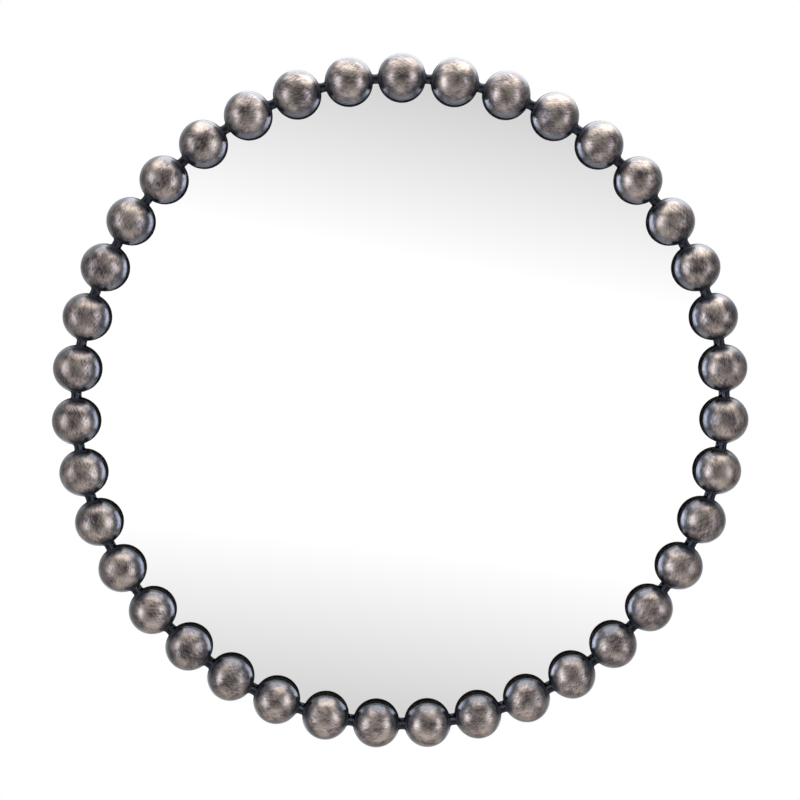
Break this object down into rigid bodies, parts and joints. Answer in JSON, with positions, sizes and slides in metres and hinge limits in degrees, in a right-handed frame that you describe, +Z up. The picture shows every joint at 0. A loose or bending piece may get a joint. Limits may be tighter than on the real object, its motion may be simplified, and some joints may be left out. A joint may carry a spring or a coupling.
{
  "type": "round wall mirror",
  "caption": "Round wall mirror framed by a ring of half-round rubbed-pewter beads on a rod, with a hooped backing board and two swinging D-ring hangers behind.",
  "frame": {"origin": "on the wall, at the centre of the hoop's flat rear edge, which lies against the wall", "axes": "+X to the right seen from the front, +Y backward into the wall, +Z up; the glass faces -Y"},
  "size_m": [0.733, 0.0428, 0.7324],
  "materials": {
    "rubbed_pewter": "satin",
    "black_rod": "satin",
    "black_hoop": "satin",
    "silvered_glass": "polished",
    "foam_tape": "matte",
    "black_board": "matte",
    "black_tab": "satin",
    "zinc_screw": "satin",
    "zinc_strap": "satin",
    "zinc_wire": "satin"
  },
  "bodies": {
    "frame": {"back_hoop": "black_hoop", "backing_board": "black_board", "bead_01": "rubbed_pewter", "bead_02": "rubbed_pewter", "bead_03": "rubbed_pewter", "bead_04": "rubbed_pewter", "bead_05": "rubbed_pewter", "bead_06": "rubbed_pewter", "bead_07": "rubbed_pewter", "bead_08": "rubbed_pewter", "bead_09": "rubbed_pewter", "bead_10": "rubbed_pewter", "bead_11": "rubbed_pewter", "bead_12": "rubbed_pewter", "bead_13": "rubbed_pewter", "bead_14": "rubbed_pewter", "bead_15": "rubbed_pewter", "bead_16": "rubbed_pewter", "bead_17": "rubbed_pewter", "bead_18": "rubbed_pewter", "bead_19": "rubbed_pewter", "bead_20": "rubbed_pewter", "bead_21": "rubbed_pewter", "bead_22": "rubbed_pewter", "bead_23": "rubbed_pewter", "bead_24": "rubbed_pewter", "bead_25": "rubbed_pewter", "bead_26": "rubbed_pewter", "bead_27": "rubbed_pewter", "bead_28": "rubbed_pewter", "bead_29": "rubbed_pewter", "bead_30": "rubbed_pewter", "bead_31": "rubbed_pewter", "bead_32": "rubbed_pewter", "bead_33": "rubbed_pewter", "bead_34": "rubbed_pewter", "bead_35": "rubbed_pewter", "bead_36": "rubbed_pewter", "bead_37": "rubbed_pewter", "bead_38": "rubbed_pewter", "bead_39": "rubbed_pewter", "board_tab_1": "black_tab", "board_tab_2": "black_tab", "board_tab_3": "black_tab", "board_tab_4": "black_tab", "board_tab_5": "black_tab", "board_tab_6": "black_tab", "foam_tape": "foam_tape", "hanger_screws": "zinc_screw", "hanger_strap_left": "zinc_strap", "hanger_strap_right": "zinc_strap", "mirror_glass": "silvered_glass", "ring_rod": "black_rod", "tab_screws": "zinc_screw"},
    "ring_left": {"hanger_ring_left": "zinc_wire"},
    "ring_right": {"hanger_ring_right": "zinc_wire"}
  },
  "joints": [
    {"name": "ring_left_swing", "type": "hinge", "parent": "frame", "child": "ring_left", "pos_m": [-0.2032, -0.0041, 0.19], "axis": [1, 0, 0], "range_deg": [0, 176]},
    {"name": "ring_right_swing", "type": "hinge", "parent": "frame", "child": "ring_right", "pos_m": [0.2032, -0.0041, 0.19], "axis": [1, 0, 0], "range_deg": [0, 176]}
  ]
}
